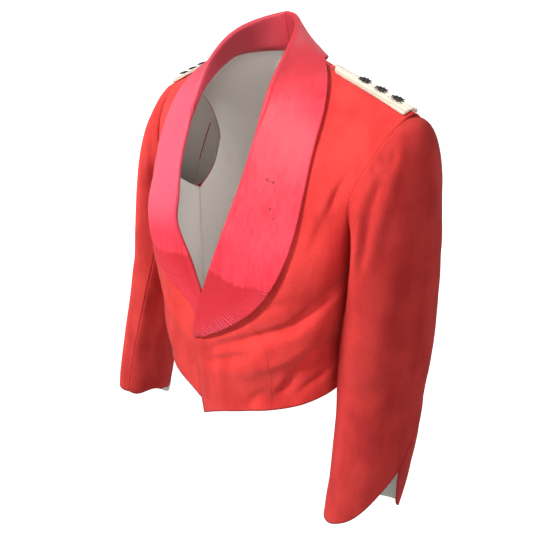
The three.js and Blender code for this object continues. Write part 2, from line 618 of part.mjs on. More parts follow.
// How the sleeve leaves the armhole, at the head and under the arm: the handle of its first
// stretch, and its ease, the way out to the middle of its wall.
const CAP = {
  head: { out: 100, rise: 26, ease: 1.1 },
  under: { out: 24, rise: -46, ease: 2.7 },
  forward: 46,
  arrival: 1.05,
};

function capStart(angle) {
  const turn = radians(angle);
  const head = (1 + Math.cos(turn)) / 2;
  const handle = new THREE.Vector3(mixNumber(CAP.under.out, CAP.head.out, head),
    -Math.sin(turn) * CAP.forward, mixNumber(CAP.under.rise, CAP.head.rise, head));
  const ease = mixNumber(CAP.under.ease, CAP.head.ease, head ** 3);
  return { handle, point: armholeAt(angle).add(new THREE.Vector3(ease, 0, 0)) };
}

function sleevePoint(rings, angle, along) {
  // along: 0 is the armhole, 1 the first ring, and so on to the last ring.
  if (along >= 1) {
    const knots = rings.map((ring) => -ring.centre[2]);
    const knot = -mixNumber(rings[Math.min(rings.length - 2, Math.floor(along) - 1)].centre[2],
      rings[Math.min(rings.length - 1, Math.floor(along))].centre[2],
      along - Math.min(rings.length - 1, Math.floor(along)));
    return splineThrough(rings.map((ring) => ringPoint(ring, angle)), knots)(knot);
  }
  const { handle, point: start } = capStart(angle);
  const end = ringPoint(rings[0], angle);
  const arriving = ringPoint(rings[1], angle).sub(end).normalize();
  arriving.multiplyScalar(end.distanceTo(start) * CAP.arrival);
  const t = along;
  const t2 = t * t;
  const t3 = t2 * t;
  return start.multiplyScalar(2 * t3 - 3 * t2 + 1).addScaledVector(handle, t3 - 2 * t2 + t)
    .addScaledVector(end, 3 * t2 - 2 * t3).addScaledVector(arriving, t3 - t2);
}

function sleeveNormal(rings, angle, along) {
  const low = Math.max(0, along - 0.02);
  const high = Math.min(rings.length, along + 0.02);
  const around = sleevePoint(rings, angle + 2, along).sub(sleevePoint(rings, angle - 2, along));
  const downward = sleevePoint(rings, angle, high).sub(sleevePoint(rings, angle, low));
  return around.cross(downward).normalize();
}

const CAP_STEPS = 7;
const RING_STEPS = [2, 2, 2, 2, 4];
const TOP_STEPS = 15;
const UNDER_STEPS = 12;
const SLEEVE_SEAM_HALF = 0.35;     // half the gap at a sleeve seam, in degrees round the sleeve

function seamAngle(rings, column, armholeAngle, along) {
  const angles = [armholeAngle, ...rings.map((ring) => ring[column])];
  const points = angles.map((angle) => new THREE.Vector3(angle, 0, 0));
  return splineThrough(points, points.map((v, k) => k))(along).x;
}

function alongAtHeight(rings, height) {
  let i = 0;
  while (i < rings.length - 2 && height < rings[i + 1].centre[2]) i += 1;
  const span = rings[i].centre[2] - rings[i + 1].centre[2];
  return 1 + i + (rings[i].centre[2] - height) / span;
}

function sleeveGrid(side, part) {
  const { rings, topHem, underHem } = SLEEVES[side];
  const stations = [];
  for (let k = 0; k < CAP_STEPS; k += 1) stations.push(k / CAP_STEPS);
  RING_STEPS.forEach((steps, ring) => {
    for (let k = 0; k < steps; k += 1) stations.push(1 + ring + k / steps);
  });
  stations.push(rings.length);
  const steps = part === 'top' ? TOP_STEPS : UNDER_STEPS;
  const fixedFrom = rings.length - 3;
  const grid = [];
  for (let i = 0; i <= steps; i += 1) {
    const share = i / steps;
    const rise = tableValue(part === 'top' ? topHem : underHem, 'share', 'rise', share);
    const lastAlong = alongAtHeight(rings, rings[rings.length - 1].centre[2] + rise);
    grid.push(stations.map((station) => {
      const along = station <= fixedFrom ? station
        : mixNumber(fixedFrom, lastAlong, (station - fixedFrom) / (rings.length - fixedFrom));
      const hind = seamAngle(rings, 'hind', ARMHOLE_HIND, along);
      const fore = seamAngle(rings, 'fore', ARMHOLE_FORE, along);
      const angle = part === 'top' ? mixNumber(hind + SLEEVE_SEAM_HALF, fore - SLEEVE_SEAM_HALF, share)
        : mixNumber(fore + SLEEVE_SEAM_HALF, hind + 360 - SLEEVE_SEAM_HALF, share);
      return { point: sleevePoint(rings, angle, along), normal: sleeveNormal(rings, angle, along) };
    }));
  }
  return grid;
}

function addSleeves(group) {
  for (const side of ['left', 'right']) {
    for (const part of ['top', 'under']) {
      const surface = sleeveGrid(side, part);
      let normals = surface.map((row) => row.map((entry) => entry.normal));
      let grid = surface.map((row) => row.map(({ point, normal }) =>
        point.addScaledVector(normal, creaseHeight(CREASES[`sleeve_${side}`], point))));
      if (side === 'right') {
        grid = mirrorGrid(grid);
        normals = mirrorGrid(normals);
      }
      addPiece(group, `sleeve_${part}_${side}`, clothWall(grid, WOOL_WALL, { normals }), wool);
    }
  }
}

// ---- shoulder straps and their ornaments --------------------------------------------------------

const STRAP = {
  outer: 0.978, inner: 0.26, halfWidth: 13.5, innerSetBack: 6, outerSetBack: 1,
  lift: 2.9, cords: 3, cordHeight: 1.2,
};
const STRAP_STEPS = 9;
const STRAP_END_ROUND = 0.07;      // how much of the strap's run its rounded inner end takes
const CORD_STEPS = 4;
const STAR = {
  radius: 8.5, waist: 4.6, points: 8, thickness: 2.4, clearance: 0.4,
  setForward: 2.5, positions: [0.39, 0.6, 0.81],
};

// A point on the shoulder, `down` millimetres to the front (below 0) or the back of its seam.
function shoulderAt(side, across, down) {
  const name = down < 0 ? 'front' : 'back';
  const last = panels[name].lastRow;
  let left = Math.abs(down);
  let up = last;
  let point = panels[name].pointAt(across, up);
  while (left > 0) {
    const next = panels[name].pointAt(across, up - 0.02);
    const step = next.distanceTo(point);
    if (step > left) {
      up -= 0.02 * left / step;
      break;
    }
    left -= step;
    up -= 0.02;
    point = next;
  }
  return surfaceAt(name, side, across, up);
}

function strapGrid(side) {
  const grid = [];
  const normals = [];
  const heights = [];
  const steps = STRAP.cords * CORD_STEPS;
  for (let j = 0; j <= steps; j += 1) {
    const share = j / steps * 2 - 1;
    const roundedStart = STRAP.inner + STRAP_END_ROUND * (1 - Math.sqrt(1 - (share * 0.98) ** 2));
    const row = [];
    const rowNormals = [];
    for (let i = 0; i <= STRAP_STEPS; i += 1) {
      const across = mixNumber(roundedStart, STRAP.outer, i / STRAP_STEPS);
      const setBack = mixNumber(STRAP.innerSetBack, STRAP.outerSetBack, i / STRAP_STEPS);
      const base = shoulderAt(side, across, share * STRAP.halfWidth + setBack);
      row.push(base.point.addScaledVector(base.normal, STRAP.lift));
      rowNormals.push(base.normal);
    }
    const cord = Math.abs(Math.sin(Math.PI * j / CORD_STEPS)) ** 0.7;
    heights.push(row.map(() => STRAP.cordHeight * cord));
    grid.push(row);
    normals.push(rowNormals);
  }
  return { grid, normals, heights };
}

// A small star with a raised middle, lying flat with its face up.
function starGeometry() {
  const positions = [0, 0, STAR.thickness, 0, 0, 0];
  const count = STAR.points * 2;
  for (const height of [STAR.thickness * 0.35, 0]) {
    for (let k = 0; k < count; k += 1) {
      const radius = k % 2 ? STAR.waist : STAR.radius;
      const turn = Math.PI * k / STAR.points;
      positions.push(radius * Math.cos(turn), radius * Math.sin(turn), height);
    }
  }
  const triangles = [];
  for (let k = 0; k < count; k += 1) {
    const a = 2 + k;
    const b = 2 + (k + 1) % count;
    triangles.push(0, a, b, 1, b + count, a + count, a, a + count, b + count, a, b + count, b);
  }
  const geometry = new THREE.BufferGeometry();
  geometry.setAttribute('position', new THREE.Float32BufferAttribute(positions, 3));
  geometry.setIndex(triangles);
  geometry.computeVertexNormals();
  return geometry;
}

function addOnStrap(group, name, geometry, side, share, material) {
  const across = mixNumber(STRAP.inner, STRAP.outer, share);
  const setBack = mixNumber(STRAP.innerSetBack, STRAP.outerSetBack, share) - STAR.setForward;
  const base = shoulderAt(side, across, setBack);
  const height = STRAP.lift + STRAP_WALL / 2 + STRAP.cordHeight + STAR.clearance;
  const mesh = new THREE.Mesh(geometry, material);
  const ahead = shoulderAt(side, across + 0.02, setBack).point;
  const along = ahead.sub(shoulderAt(side, across - 0.02, setBack).point);
  const position = base.point.clone().addScaledVector(base.normal, height);
  if (side === 'right') {
    for (const v of [base.normal, along, position]) v.x *= -1;
  }
  const sideways = base.normal.clone().cross(along).normalize();
  const forward = sideways.clone().cross(base.normal).normalize();
  mesh.quaternion.setFromRotationMatrix(new THREE.Matrix4().makeBasis(forward, sideways, base.normal));
  mesh.position.copy(position);
  mesh.name = name;
  group.add(mesh);
}

function addStraps(group) {
  for (const side of ['left', 'right']) {
    let { grid, normals, heights } = strapGrid(side);
    grid = grid.reverse();
    normals = normals.reverse();
    heights = heights.reverse();
    if (side === 'right') {
      grid = mirrorGrid(grid);
      normals = mirrorGrid(normals);
      heights = heights.reverse();
    }
    addPiece(group, `shoulder_strap_${side}`, clothWall(grid, STRAP_WALL, { normals, heights }), braid);
    STAR.positions.forEach((share, k) =>
      addOnStrap(group, `rank_star_${side}_${k + 1}`, starGeometry(), side, share, pewter));
  }
}

// ---- assembly ---------------------------------------------------------------------------------

const jacket = new THREE.Group();
addBodyPanels(jacket);
addCollar(jacket);
addSleeves(jacket);
addStraps(jacket);

export default jacket;
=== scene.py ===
# %% [markdown]
# # Mess jacket
#
# A short scarlet jacket with a wide satin shawl collar, filled out as if someone wore it.
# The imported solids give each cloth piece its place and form. This script turns them into thin,
# softly creased cloth with its seams, puckers and weave, then lights the whole.
# Everything is in metres: +X is the wearer's left, -Y the front, +Z up.

# %% Load the frame
import math

import bmesh
import bpy
import numpy as np
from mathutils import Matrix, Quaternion, Vector, kdtree, noise


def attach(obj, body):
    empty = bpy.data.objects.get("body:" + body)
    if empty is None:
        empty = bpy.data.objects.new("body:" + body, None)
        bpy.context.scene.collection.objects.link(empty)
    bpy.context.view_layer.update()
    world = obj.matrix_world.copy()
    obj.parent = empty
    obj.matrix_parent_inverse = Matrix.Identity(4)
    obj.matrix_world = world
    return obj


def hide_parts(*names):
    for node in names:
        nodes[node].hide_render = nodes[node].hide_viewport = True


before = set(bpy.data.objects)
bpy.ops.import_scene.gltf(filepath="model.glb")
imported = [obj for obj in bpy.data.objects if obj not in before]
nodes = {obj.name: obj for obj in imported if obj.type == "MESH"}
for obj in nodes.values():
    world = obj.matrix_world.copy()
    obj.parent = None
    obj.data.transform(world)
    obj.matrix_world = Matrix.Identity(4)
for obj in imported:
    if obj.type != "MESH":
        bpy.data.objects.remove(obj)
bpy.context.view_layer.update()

MM = 0.001
print(len(nodes), "solids loaded")

# %% [markdown]
# The camera comes first. It could be placed by hand in a window, but numbers give the same view
# each time. It stands in front of the jacket, above it and to the wearer's left, so that the left
# shoulder is nearest.

# %% Camera
CAMERA_PLACE = Vector((0.470, -0.519, 0.052))
CAMERA_AZIMUTH, CAMERA_ELEVATION, CAMERA_ROLL = (math.radians(v) for v in (42.6, 26.8, -0.3))
FOCAL_PIXELS, IMAGE_SIDE, SENSOR = 505.0, 533.0, 36.0
CLIP_NEAR, CLIP_FAR = 0.01, 100

back = Vector((
    math.sin(CAMERA_AZIMUTH) * math.cos(CAMERA_ELEVATION),
    -math.cos(CAMERA_AZIMUTH) * math.cos(CAMERA_ELEVATION),
    math.sin(CAMERA_ELEVATION),
))
camera = bpy.data.objects.new("camera", bpy.data.cameras.new("camera"))
bpy.context.scene.collection.objects.link(camera)
bpy.context.scene.camera = camera
camera.data.sensor_width = SENSOR
camera.data.lens = FOCAL_PIXELS / IMAGE_SIDE * SENSOR
camera.data.clip_start, camera.data.clip_end = CLIP_NEAR, CLIP_FAR
camera.rotation_mode = "QUATERNION"
camera.location = CAMERA_PLACE
camera.rotation_quaternion = (-back).to_track_quat("-Z", "Y") @ Quaternion((0, 0, 1), -CAMERA_ROLL)
print("lens", round(camera.data.lens, 2), "mm")

# %% [markdown]
# Each cloth piece starts as a copy of its solid. A simulation could drape it, but the solid already
# has the worn form, so it is only smoothed. The copy is merged, its triangles are joined to quads,
# its rim is creased so that the cloth keeps its edge, and a subdivision surface makes it smooth.
# The rims of body and sleeves reach a little further than the solid's, because smoothing rounds a
# seam's curve and would open it.


# %% Cloth shells
RIM_ANGLE = math.radians(52)
QUAD_FACE_ANGLE, QUAD_SHAPE_ANGLE = math.radians(60), math.radians(80)
SAME_PLACE = 1e-6
WALL_MOST = 4 * MM
SEAM_REACH = 0.6 * MM
SOFT_CREASE, FULL_CREASE = 0.75, 1.0
BODY_LEVELS, COLLAR_LEVELS, STRAP_LEVELS = 2, 3, 2


def is_rim(edge):
    return len(edge.link_faces) == 2 and edge.calc_face_angle() > RIM_ANGLE


def cloth_copy(name, levels, rim_crease=SOFT_CREASE, seam_reach=0.0):
    mesh = nodes[name].data.copy()
    bm = bmesh.new()
    bm.from_mesh(mesh)
    bmesh.ops.remove_doubles(bm, verts=bm.verts, dist=SAME_PLACE)
    bmesh.ops.join_triangles(
        bm, faces=bm.faces, angle_face_threshold=QUAD_FACE_ANGLE, angle_shape_threshold=QUAD_SHAPE_ANGLE)
    crease = bm.edges.layers.float.new("crease_edge")
    sharp = {edge for edge in bm.edges if is_rim(edge)}
    for edge in sharp:
        edge[crease] = rim_crease
    push = {}
    for face in bm.faces:
        narrow = min(edge.calc_length() for edge in face.edges) < WALL_MOST
        if narrow and sum(edge in sharp for edge in face.edges) >= 2:
            for vert in face.verts:
                push[vert] = push.get(vert, Vector()) + face.normal
    for vert, direction in push.items():
        vert.co += direction.normalized() * seam_reach
    bm.to_mesh(mesh)
    bm.free()
    piece = bpy.data.objects.new(f"cloth_{name}", mesh)
    bpy.context.scene.collection.objects.link(piece)
    smooth = piece.modifiers.new("smooth", "SUBSURF")
    smooth.levels = smooth.render_levels = levels
    bpy.ops.object.select_all(action="DESELECT")
    piece.select_set(True)
    bpy.context.view_layer.objects.active = piece
    bpy.ops.object.modifier_apply(modifier="smooth")
    for polygon in piece.data.polygons:
        polygon.use_smooth = True
    piece.data.materials.clear()
    return piece


BODY = ["front_left", "front_right", "back_left", "back_right"]
COLLARS = ["collar_left", "collar_right"]
SLEEVES = ["sleeve_top_left", "sleeve_under_left", "sleeve_top_right", "sleeve_under_right"]
STRAPS = ["shoulder_strap_left", "shoulder_strap_right"]
cloth = {}
for name in BODY + SLEEVES:
    cloth[name] = cloth_copy(name, BODY_LEVELS, rim_crease=FULL_CREASE, seam_reach=SEAM_REACH)
for name in COLLARS:
    cloth[name] = cloth_copy(name, COLLAR_LEVELS)
for name in STRAPS:
    cloth[name] = cloth_copy(name, STRAP_LEVELS)
print({name: len(piece.data.polygons) for name, piece in cloth.items()})

# %% [markdown]
# Creases that a worn jacket takes. They could be sculpted, but a short table keeps each one easy to
# change. Each row is a depth (below 0 a trough, above 0 a ridge), a width, and a line of points on
# the cloth, all in millimetres, and it fades softly to both sides and at its ends. The left front
# is pulled from the waist up to the side, and the sleeves break below the head and at the elbow.
# The back and the right side get similar, uneven ones. The two widest rows are the sleeves' fullness.


# %% Crease tables
def fold(depth, width, *line):
    return {"depth": depth, "width": width, "line": line}


BODY_CREASES = [
    # left front: the long folds below the collar
    fold(-8.0, 8, (17, -149, -376), (43, -147, -355), (88, -134, -330), (126, -119, -311)),
    fold(-9.0, 8, (100, -128, -323), (140, -107, -299), (156, -79, -272), (167, -51, -247)),
    fold(4.6, 12, (66, -144, -394), (100, -131, -370), (134, -106, -346), (152, -74, -320)),
    fold(-8.0, 7, (11, -149, -396), (52, -148, -375), (86, -142, -353)),
    fold(-9.5, 9, (119, -104, -410), (134, -96, -382), (149, -74, -354), (155, -39, -340)),
    fold(3.2, 8, (98, -120, -430), (122, -108, -394), (142, -84, -372)),
    fold(-3.0, 5, (112, -130, -276), (123, -124, -269), (134, -117, -264)),
    fold(-5.0, 8, (84, -133, -442), (98, -128, -424), (104, -124, -412)),
    fold(-4.0, 7, (134, -92, -424), (146, -72, -404), (156, -40, -386)),
    fold(-3.4, 4, (171, -64, -106), (167, -71, -124), (163, -77, -144)),
    fold(-4.6, 6, (166, -70, -128), (160, -86, -160), (152, -96, -194)),
    fold(2.6, 7, (152, -78, -112), (158, -84, -140), (154, -94, -172)),
    # right front
    fold(-4.2, 9, (-52, -140, -388), (-96, -130, -352), (-140, -106, -316)),
    fold(-2.2, 8, (-30, -142, -362), (-80, -136, -326), (-124, -120, -290)),
    fold(2.4, 12, (-84, -134, -414), (-124, -110, -384), (-154, -60, -352)),
    fold(-2.2, 6, (-171, -63, -112), (-166, -74, -140), (-160, -84, -176)),
    fold(1.6, 8, (-150, -80, -116), (-156, -88, -150)),
    # back
    fold(-3.0, 11, (150, 38, -258), (96, 86, -284), (30, 94, -296)),
    fold(-3.4, 10, (154, 28, -316), (104, 72, -334), (20, 90, -344)),
    fold(2.2, 12, (152, 40, -366), (88, 84, -376), (10, 92, -372)),
    fold(-3.2, 8, (174, 64, -128), (160, 80, -164), (146, 90, -212)),
    fold(-3.2, 11, (-152, 30, -272), (-84, 90, -296), (-20, 94, -304)),
    fold(-2.8, 9, (-156, 26, -330), (-110, 70, -340), (-12, 90, -350)),
    fold(2.2, 12, (-150, 42, -382), (-70, 88, -390)),
    fold(-3.0, 8, (-175, 62, -132), (-162, 80, -170), (-154, 88, -202)),
    fold(-1.4, 12, (36, 66, -40), (70, 84, -80), (96, 96, -140)),
    fold(-1.6, 13, (-30, 62, -36), (-74, 86, -84), (-104, 94, -150)),
]
SLEEVE_CREASES = [
    # left sleeve: fullness of the head, then the long break down its front
    fold(-4.4, 5, (205, -55, -106), (204, -62, -120), (204, -68, -132)),
    fold(-5.0, 6, (204, -66, -122), (204, -72, -148), (207, -78, -178), (206, -80, -214)),
    fold(3.2, 6, (194, -64, -128), (196, -74, -160), (196, -79, -206)),
    fold(-4.4, 5, (208, -33, -75), (211, -40, -86), (214, -47, -96)),
    fold(-3.0, 3.5, (196, -40, -82), (206, -46, -92)),
    fold(-3.0, 3.5, (190, -48, -95), (200, -54, -103)),
    fold(-3.0, 3.5, (184, -56, -110), (194, -62, -116)),
    fold(-2.6, 3.5, (178, -64, -128), (187, -70, -134)),
    fold(3.4, 7, (203, -16, -56), (214, -36, -80), (219, -51, -111), (219, -66, -150), (218, -74, -190)),
    fold(-1.8, 10, (178, -64, -250), (184, -74, -320), (186, -76, -390)),
    fold(-1.8, 11, (264, -38, -334), (242, -72, -366), (206, -80, -384)),
    fold(-0.8, 14, (270, 4, -372), (268, -40, -410), (240, -80, -440)),
    fold(-1.6, 12, (196, -80, -470), (206, -90, -540), (204, -98, -600)),
    fold(-2.4, 12, (214, 46, -320), (238, 36, -352), (254, 22, -372)),
    fold(-2.8, 10, (182, 26, -350), (212, 38, -384), (246, 28, -412)),
    fold(-2.0, 12, (200, 44, -170), (214, 46, -226), (212, 44, -290)),
    fold(7.0, 32, (257, 6, -190), (266, -4, -270), (271, -8, -350), (276, -16, -450), (280, -24, -510)),
    # right sleeve
    fold(9.0, 34, (-206, -40, -90), (-214, -64, -160), (-232, -74, -266), (-243, -88, -350)),
    fold(-3.2, 7, (-190, -60, -122), (-188, -72, -150), (-187, -74, -200)),
    fold(-2.4, 7, (-206, -60, -112), (-210, -72, -140), (-208, -82, -190)),
    fold(-6.0, 13, (-178, -72, -352), (-186, -92, -420), (-190, -112, -500), (-194, -126, -560)),
    fold(2.4, 9, (-204, -88, -360), (-212, -106, -440), (-222, -130, -540)),
    fold(-2.8, 10, (-232, 26, -336), (-272, -2, -398)),
    fold(-2.6, 10, (-200, 12, -370), (-246, 4, -430), (-272, -30, -452)),
    fold(-2.0, 12, (-206, 46, -180), (-218, 44, -240), (-216, 36, -300)),
]
print(len(BODY_CREASES) + len(SLEEVE_CREASES), "creases")

# %% [markdown]
# A crease's height at a point of the cloth comes from the distance to its line. It is full at the
# line's middle and under a third of that at its ends.


# %% Distances and heights
END_FADE = 0.03


def read_points(piece):
    points = np.empty(len(piece.data.vertices) * 3, dtype=np.float32)
    piece.data.vertices.foreach_get("co", points)
    return points.reshape(-1, 3).astype(np.float64)


def write_points(piece, points):
    piece.data.vertices.foreach_set("co", points.astype(np.float32).ravel())
    piece.data.update()


def nearest_on_line(points, line):
    """Distance from each point to a line of points, how far along it the foot is, and its length."""
    best = np.full(len(points), np.inf)
    run = np.zeros(len(points))
    start = 0.0
    for a, b in zip(line[:-1], line[1:]):
        step = b - a
        length = np.linalg.norm(step)
        share = np.clip((points - a) @ step / length**2, 0, 1)
        distance = np.linalg.norm(points - a - share[:, None] * step, axis=1)
        nearer = distance < best
        best[nearer] = distance[nearer]
        run[nearer] = start + share[nearer] * length
        start += length
    return best, run, start


def crease_height(points, creases):
    height = np.zeros(len(points))
    for crease in creases:
        distance, run, length = nearest_on_line(points, np.array(crease["line"]) * MM)
        ends = np.sqrt(np.sin(np.clip(run / length, END_FADE, 1 - END_FADE) * math.pi))
        height += crease["depth"] * MM * ends * np.exp(-((distance / (crease["width"] * MM)) ** 2))
    return height


def unevenness(points, wavelength, seed):
    scaled = points / wavelength + np.array([seed, 0, 0])
    return np.array([noise.noise(point) for point in scaled])


first_fold = BODY_CREASES[0]
on_first_fold = np.array(first_fold["line"][1:2]) * MM
print("the first crease is", round(crease_height(on_first_fold, [first_fold])[0] / MM, 1), "mm high")

# %% [markdown]
# The rims are the sharp edges of a solid's wall. A search tree of points along them gives each
# point of the cloth its distance, which the seams need in shape and in colour.


# %% Rims
RIM_STEP = 1.5 * MM


def rim_tree(names):
    """A search tree of evenly spaced points along the rims of some solids' walls."""
    bm = bmesh.new()
    for name in names:
        bm.from_mesh(nodes[name].data)
    bmesh.ops.remove_doubles(bm, verts=bm.verts, dist=SAME_PLACE)
    samples = []
    for edge in bm.edges:
        if is_rim(edge):
            a, b = (vert.co.copy() for vert in edge.verts)
            steps = max(1, round((b - a).length / RIM_STEP))
            samples += [a.lerp(b, k / steps) for k in range(steps + 1)]
    bm.free()
    tree = kdtree.KDTree(len(samples))
    for k, point in enumerate(samples):
        tree.insert(point, k)
    tree.balance()
    return tree


body_rims, sleeve_rims = rim_tree(BODY), rim_tree(SLEEVES)
to_rim = body_rims.find(Vector(BODY_CREASES[0]["line"][0]) * MM)[2]
print("the first crease starts", round(to_rim / MM), "mm from a rim")

# %% [markdown]
# The cloth moves in or out from the middle of the body, or of the arm, so that layers lying on
# each other move together. Besides the creases it is slightly uneven all over. Body and sleeves
# move different ways, so both keep still at the armholes, and the sleeve is tucked a hair under
# the body's edge there. Under the collar's free edge the front gives way a little, which leaves
# the collar standing off it.


# %% Shape the cloth
ARMHOLE_STILL = 9 * MM
TUCK_ALONG, TUCK_DOWN = 2.2 * MM, 0.4 * MM
STRAP_SHARE = 0.3
BROAD_HEIGHT, BROAD_LENGTH, BROAD_SEED = 1.1 * MM, 60 * MM, 3.1
FINE_HEIGHT, FINE_LENGTH, FINE_SEED = 0.4 * MM, 19 * MM, 7.7
UNDER_COLLAR_DEPTH, UNDER_COLLAR_WIDTH = 5.5, 7
COLLAR_EDGE = {
    "collar_left": [
        (0, -155, -356), (17, -155, -350), (38, -151, -336), (58, -147, -321), (78, -142, -303),
        (96, -138, -283), (110, -134, -262), (123, -127, -231), (132, -121, -200), (137, -110, -166)],
    "collar_right": [
        (-4, -140, -334), (-16, -140, -327), (-27, -142, -318), (-44, -144, -305), (-60, -145, -289),
        (-75, -143, -272), (-89, -140, -252), (-105, -134, -226), (-119, -126, -199), (-130, -114, -166)],
}
ARM_CENTRES = {
    "left": [(212, -18, -250), (218, -20, -390), (222, -27, -470), (222, -46, -628)],
    "right": [(-212, -14, -250), (-228, -43, -390), (-236, -62, -465), (-247, -95, -612)],
}
ARM_TOP, ARMPIT_HEIGHT = -140 * MM, -225 * MM
CHEST_MIDDLE, CHEST_TOP = -15 * MM, -170 * MM


def creases_of(name):
    if name in SLEEVES:
        return SLEEVE_CREASES
    if name not in BODY:
        return []
    if name.startswith("back"):
        return BODY_CREASES
    collar_edge = COLLAR_EDGE[name.replace("front", "collar")]
    return BODY_CREASES + [fold(-UNDER_COLLAR_DEPTH, UNDER_COLLAR_WIDTH, *collar_edge)]


def outward(name, points):
    height = points[:, 2]
    if name in SLEEVES:
        table = np.array(ARM_CENTRES[name.rsplit("_", 1)[1]])[::-1] * MM
        across, along = (np.interp(height, table[:, 2], table[:, k]) for k in (0, 1))
        centre = np.stack([across, along, np.minimum(height, ARM_TOP)], axis=1)
    else:
        along = np.full(len(points), CHEST_MIDDLE)
        centre = np.stack([0 * along, along, np.minimum(height, CHEST_TOP)], axis=1)
    away = points - centre
    return away / np.linalg.norm(away, axis=1)[:, None]


rim_distance = {}
for name, piece in cloth.items():
    points = read_points(piece)
    height = crease_height(points, creases_of(name))
    height += (BROAD_HEIGHT * unevenness(points, BROAD_LENGTH, BROAD_SEED)
               + FINE_HEIGHT * unevenness(points, FINE_LENGTH, FINE_SEED))
    if name in BODY + SLEEVES:
        tree = body_rims if name in SLEEVES else sleeve_rims
        share = np.clip(np.array([tree.find(point)[2] for point in points]) / ARMHOLE_STILL, 0, 1)
        share = share * share * (3 - 2 * share)
        height *= share
    if name in SLEEVES:
        height -= TUCK_DOWN * (1 - share)
        above_armpit = points[:, 2] > ARMPIT_HEIGHT
        points[:, 0] -= TUCK_ALONG * (1 - share) * np.sign(points[:, 0]) * above_armpit
    if name in STRAPS:
        height *= STRAP_SHARE
    own_rims = rim_tree([name])
    rim_distance[name] = [own_rims.find(point)[2] for point in points]
    write_points(piece, points + height[:, None] * outward(name, points))
print(len(rim_distance), "cloth pieces shaped")

# %% [markdown]
# Three values are kept on each point for the materials: how far it is from its piece's rim, whether
# it is on the inner face, and, on the collar, how far it is from the free edge.


# %% Values on the points
INNER_FACE = -0.35


def keep_value(piece, name, values):
    attribute = piece.data.attributes.new(name, "FLOAT", "POINT")
    attribute.data.foreach_set("value", np.asarray(values, dtype=np.float32))


for name, piece in cloth.items():
    points = read_points(piece)
    keep_value(piece, "rim", rim_distance[name])
    normals = np.empty(len(points) * 3, dtype=np.float32)
    piece.data.vertices.foreach_get("normal", normals)
    facing = (normals.reshape(-1, 3) * outward(name, points)).sum(axis=1)
    keep_value(piece, "inside", facing < INNER_FACE)
    if name in COLLAR_EDGE:
        keep_value(piece, "edge", nearest_on_line(points, np.array(COLLAR_EDGE[name]) * MM)[0])
print("values kept on", sum(len(piece.data.vertices) for piece in cloth.values()), "points")

# %% [markdown]
# Materials could be wired node by node. Here they are written as arithmetic on node sockets, which
# reads like a formula. This small class wraps a socket, its operators add Math nodes, and `use`
# adds any other node.


# %% Socket arithmetic
class Field:
    def __init__(self, tree, socket):
        self.tree, self.socket = tree, socket

    def use(self, kind, inputs, output=0, **settings):
        node = self.tree.nodes.new(kind)
        for name, value in settings.items():
            setattr(node, name, value)
        for key, value in inputs.items():
            if isinstance(value, Field):
                self.tree.links.new(value.socket, node.inputs[key])
            else:
                node.inputs[key].default_value = value
        return Field(self.tree, node.outputs[output])

    def math(self, operation, *others):
        return self.use("ShaderNodeMath", dict(enumerate((self, *others))), operation=operation)

    def vector(self, operation, other, output=0):
        return self.use("ShaderNodeVectorMath", {0: self, 1: other}, output, operation=operation)

    def __add__(self, other):
        return self.math("ADD", other)

    def __sub__(self, other):
        return self.math("SUBTRACT", other)

    def __mul__(self, other):
        return self.math("MULTIPLY", other)

    def __rsub__(self, other):
        return self * -1 + other

    __radd__, __rmul__ = __add__, __mul__

    def between(self, low, high):
        """0 below low, 1 above high, with a smooth rise."""
        return self.use("ShaderNodeMapRange", {"Value": self, "From Min": low, "From Max": high},
                        interpolation_type="SMOOTHSTEP")

    def mix(self, first, second):
        """The first colour where this is 0, the second where it is 1."""
        return self.use("ShaderNodeMix", {0: self, 6: first, 7: second}, 2, data_type="RGBA")

    def noise(self, scale, detail=2.0, roughness=0.5):
        """Noise of this vector, from 0 to 1."""
        return self.use("ShaderNodeTexNoise", {"Vector": self, "Scale": scale, "Detail": detail,
                                               "Roughness": roughness})


class Material:
    """A material with its shader, its object coordinates and the values kept on the points."""

    def __init__(self, name, constants):
        self.data = bpy.data.materials.new(name)
        self.data.use_nodes = True
        self.tree = self.data.node_tree
        self.shader = self.tree.nodes["Principled BSDF"]
        for key, value in constants.items():
            self.shader.inputs[key].default_value = value
        coordinates = self.tree.nodes.new("ShaderNodeTexCoord")
        self.place = Field(self.tree, coordinates.outputs["Object"])

    def kept(self, name):
        node = self.tree.nodes.new("ShaderNodeAttribute")
        node.attribute_name = name
        return Field(self.tree, node.outputs["Fac"])

    def axes(self):
        split = self.tree.nodes.new("ShaderNodeSeparateXYZ")
        self.tree.links.new(self.place.socket, split.inputs[0])
        return [Field(self.tree, output) for output in split.outputs]

    def stretched(self, x, y, z):
        return self.place.vector("MULTIPLY", (x, y, z))

    def feed(self, name, field):
        self.tree.links.new(field.socket, self.shader.inputs[name])

    def bump(self, height, distance, strength=1.0):
        self.feed("Normal", height.use("ShaderNodeBump", {"Height": height, "Distance": distance,
                                                         "Strength": strength}))

    def line_distance(self, line):
        """Distance to a line on the front of the body, given as (x, z) in millimetres."""
        flat = self.stretched(1, 0, 1)
        distances = []
        for (x0, z0), (x1, z1) in zip(line[:-1], line[1:]):
            step = Vector(((x1 - x0) * MM, 0, (z1 - z0) * MM))
            offset = flat.vector("SUBTRACT", (x0 * MM, 0, z0 * MM))
            along = offset.vector("DOT_PRODUCT", tuple(step.normalized()), "Value")
            along = along.math("MAXIMUM", 0).math("MINIMUM", step.length)
            foot = along.use("ShaderNodeCombineXYZ", {"X": along * step.normalized().x,
                                                     "Z": along * step.normalized().z})
            distances.append(offset.vector("DISTANCE", foot, "Value"))
        nearest = distances[0]
        for distance in distances[1:]:
            nearest = nearest.math("MINIMUM", distance)
        return nearest


print("Field adds nodes for +, - and *, also with the number first")

